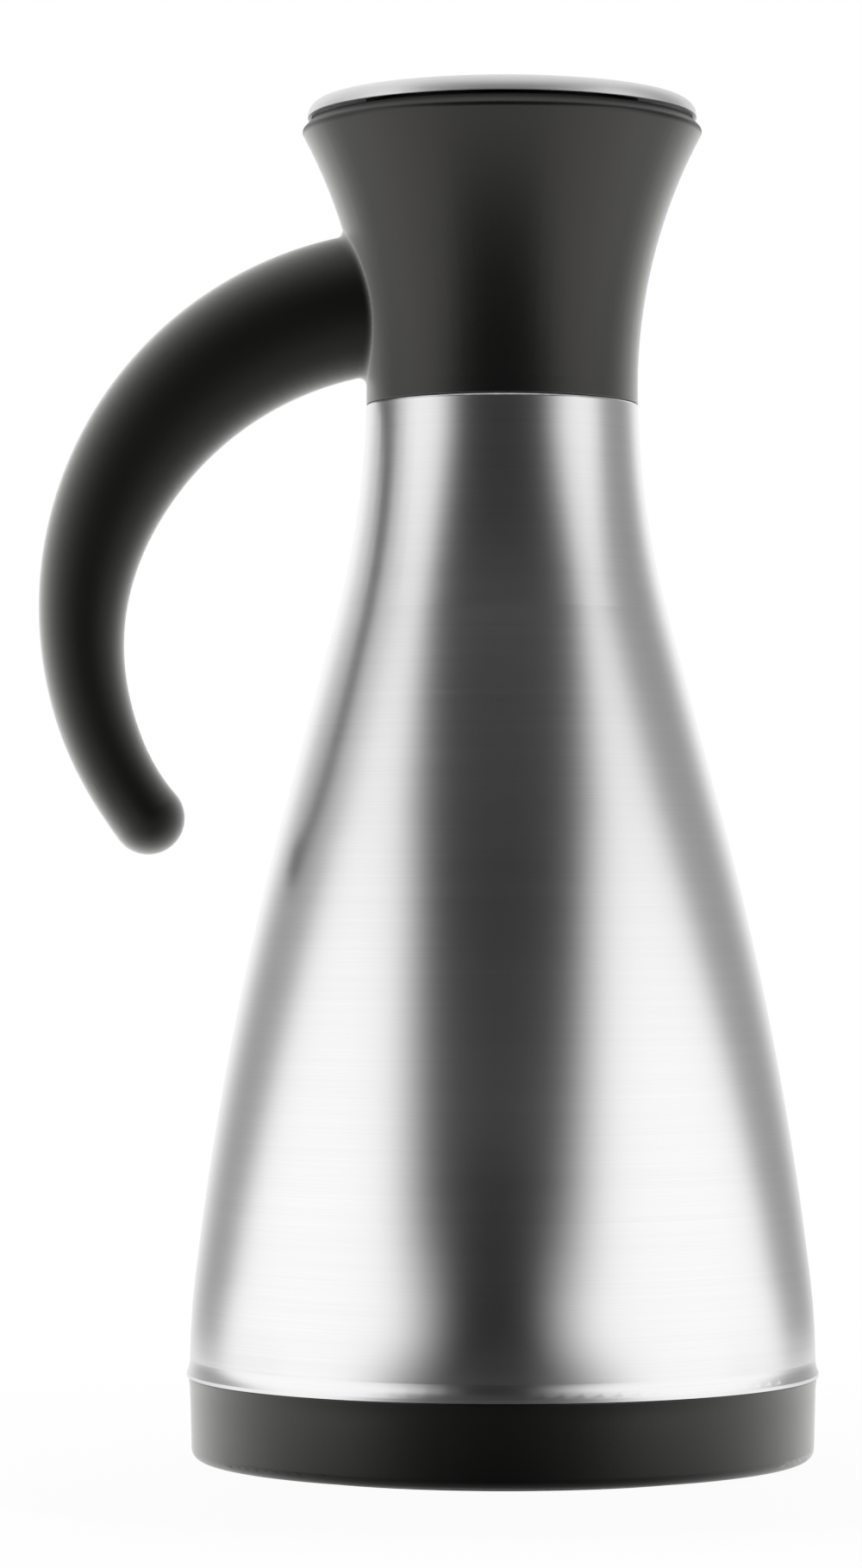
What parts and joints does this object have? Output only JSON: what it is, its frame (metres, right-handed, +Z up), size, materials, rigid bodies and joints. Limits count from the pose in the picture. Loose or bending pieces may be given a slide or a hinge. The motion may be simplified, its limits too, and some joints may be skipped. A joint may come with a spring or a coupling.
{
  "type": "thermal jug",
  "caption": "Vacuum jug with a tapered brushed steel body in a black base, a flared black collar, an open horn handle and a lift-out pouring funnel with a weighted hinged lid.",
  "frame": {"origin": "centre of the resting face, on the jug's axis, at the underside of the non-slip pad", "axes": "+Z up along the jug's axis, -X towards the handle, +X the side that it pours over"},
  "size_m": [0.1612, 0.1302, 0.2841],
  "materials": {
    "black_satin": "satin black moulding",
    "black_inner": "fine matt black moulding",
    "brushed_shell": "brushed round the axis",
    "plain_steel": "plain drawn or turned steel",
    "silicone": "matt grey silicone",
    "pad_rubber": "matt non-slip",
    "braze": "dull bead",
    "getter_metal": "pressed powder"
  },
  "bodies": {
    "jug": {"base_cup": "black_satin", "base_pad": "pad_rubber", "outer_shell": "brushed_shell", "shell_bottom": "plain_steel", "vacuum_seal": "braze", "getter": "getter_metal", "inner_flask": "plain_steel", "inner_bottom": "plain_steel", "neck_seal": "silicone", "collar": "black_satin", "handle": "black_satin", "handle_plate": "plain_steel", "handle_screws": "plain_steel"},
    "pour_unit": {"pour_funnel": "black_inner", "funnel_o_ring": "silicone", "hinge_pin": "plain_steel"},
    "lid": {"lid_cap": "brushed_shell", "lid_core": "black_inner", "lid_plug": "black_inner", "lid_seal": "silicone", "lid_weight": "plain_steel", "lid_screw": "plain_steel"}
  },
  "joints": [
    {"name": "funnel_lift", "type": "slide", "parent": "jug", "child": "pour_unit", "axis": [0, 0, 1], "range_m": [0, 0.08]},
    {"name": "lid_hinge", "type": "hinge", "parent": "pour_unit", "child": "lid", "pos_m": [-0.0322, 0, 0.2692], "axis": [0, -1, 0], "range_deg": [0, 60]}
  ]
}
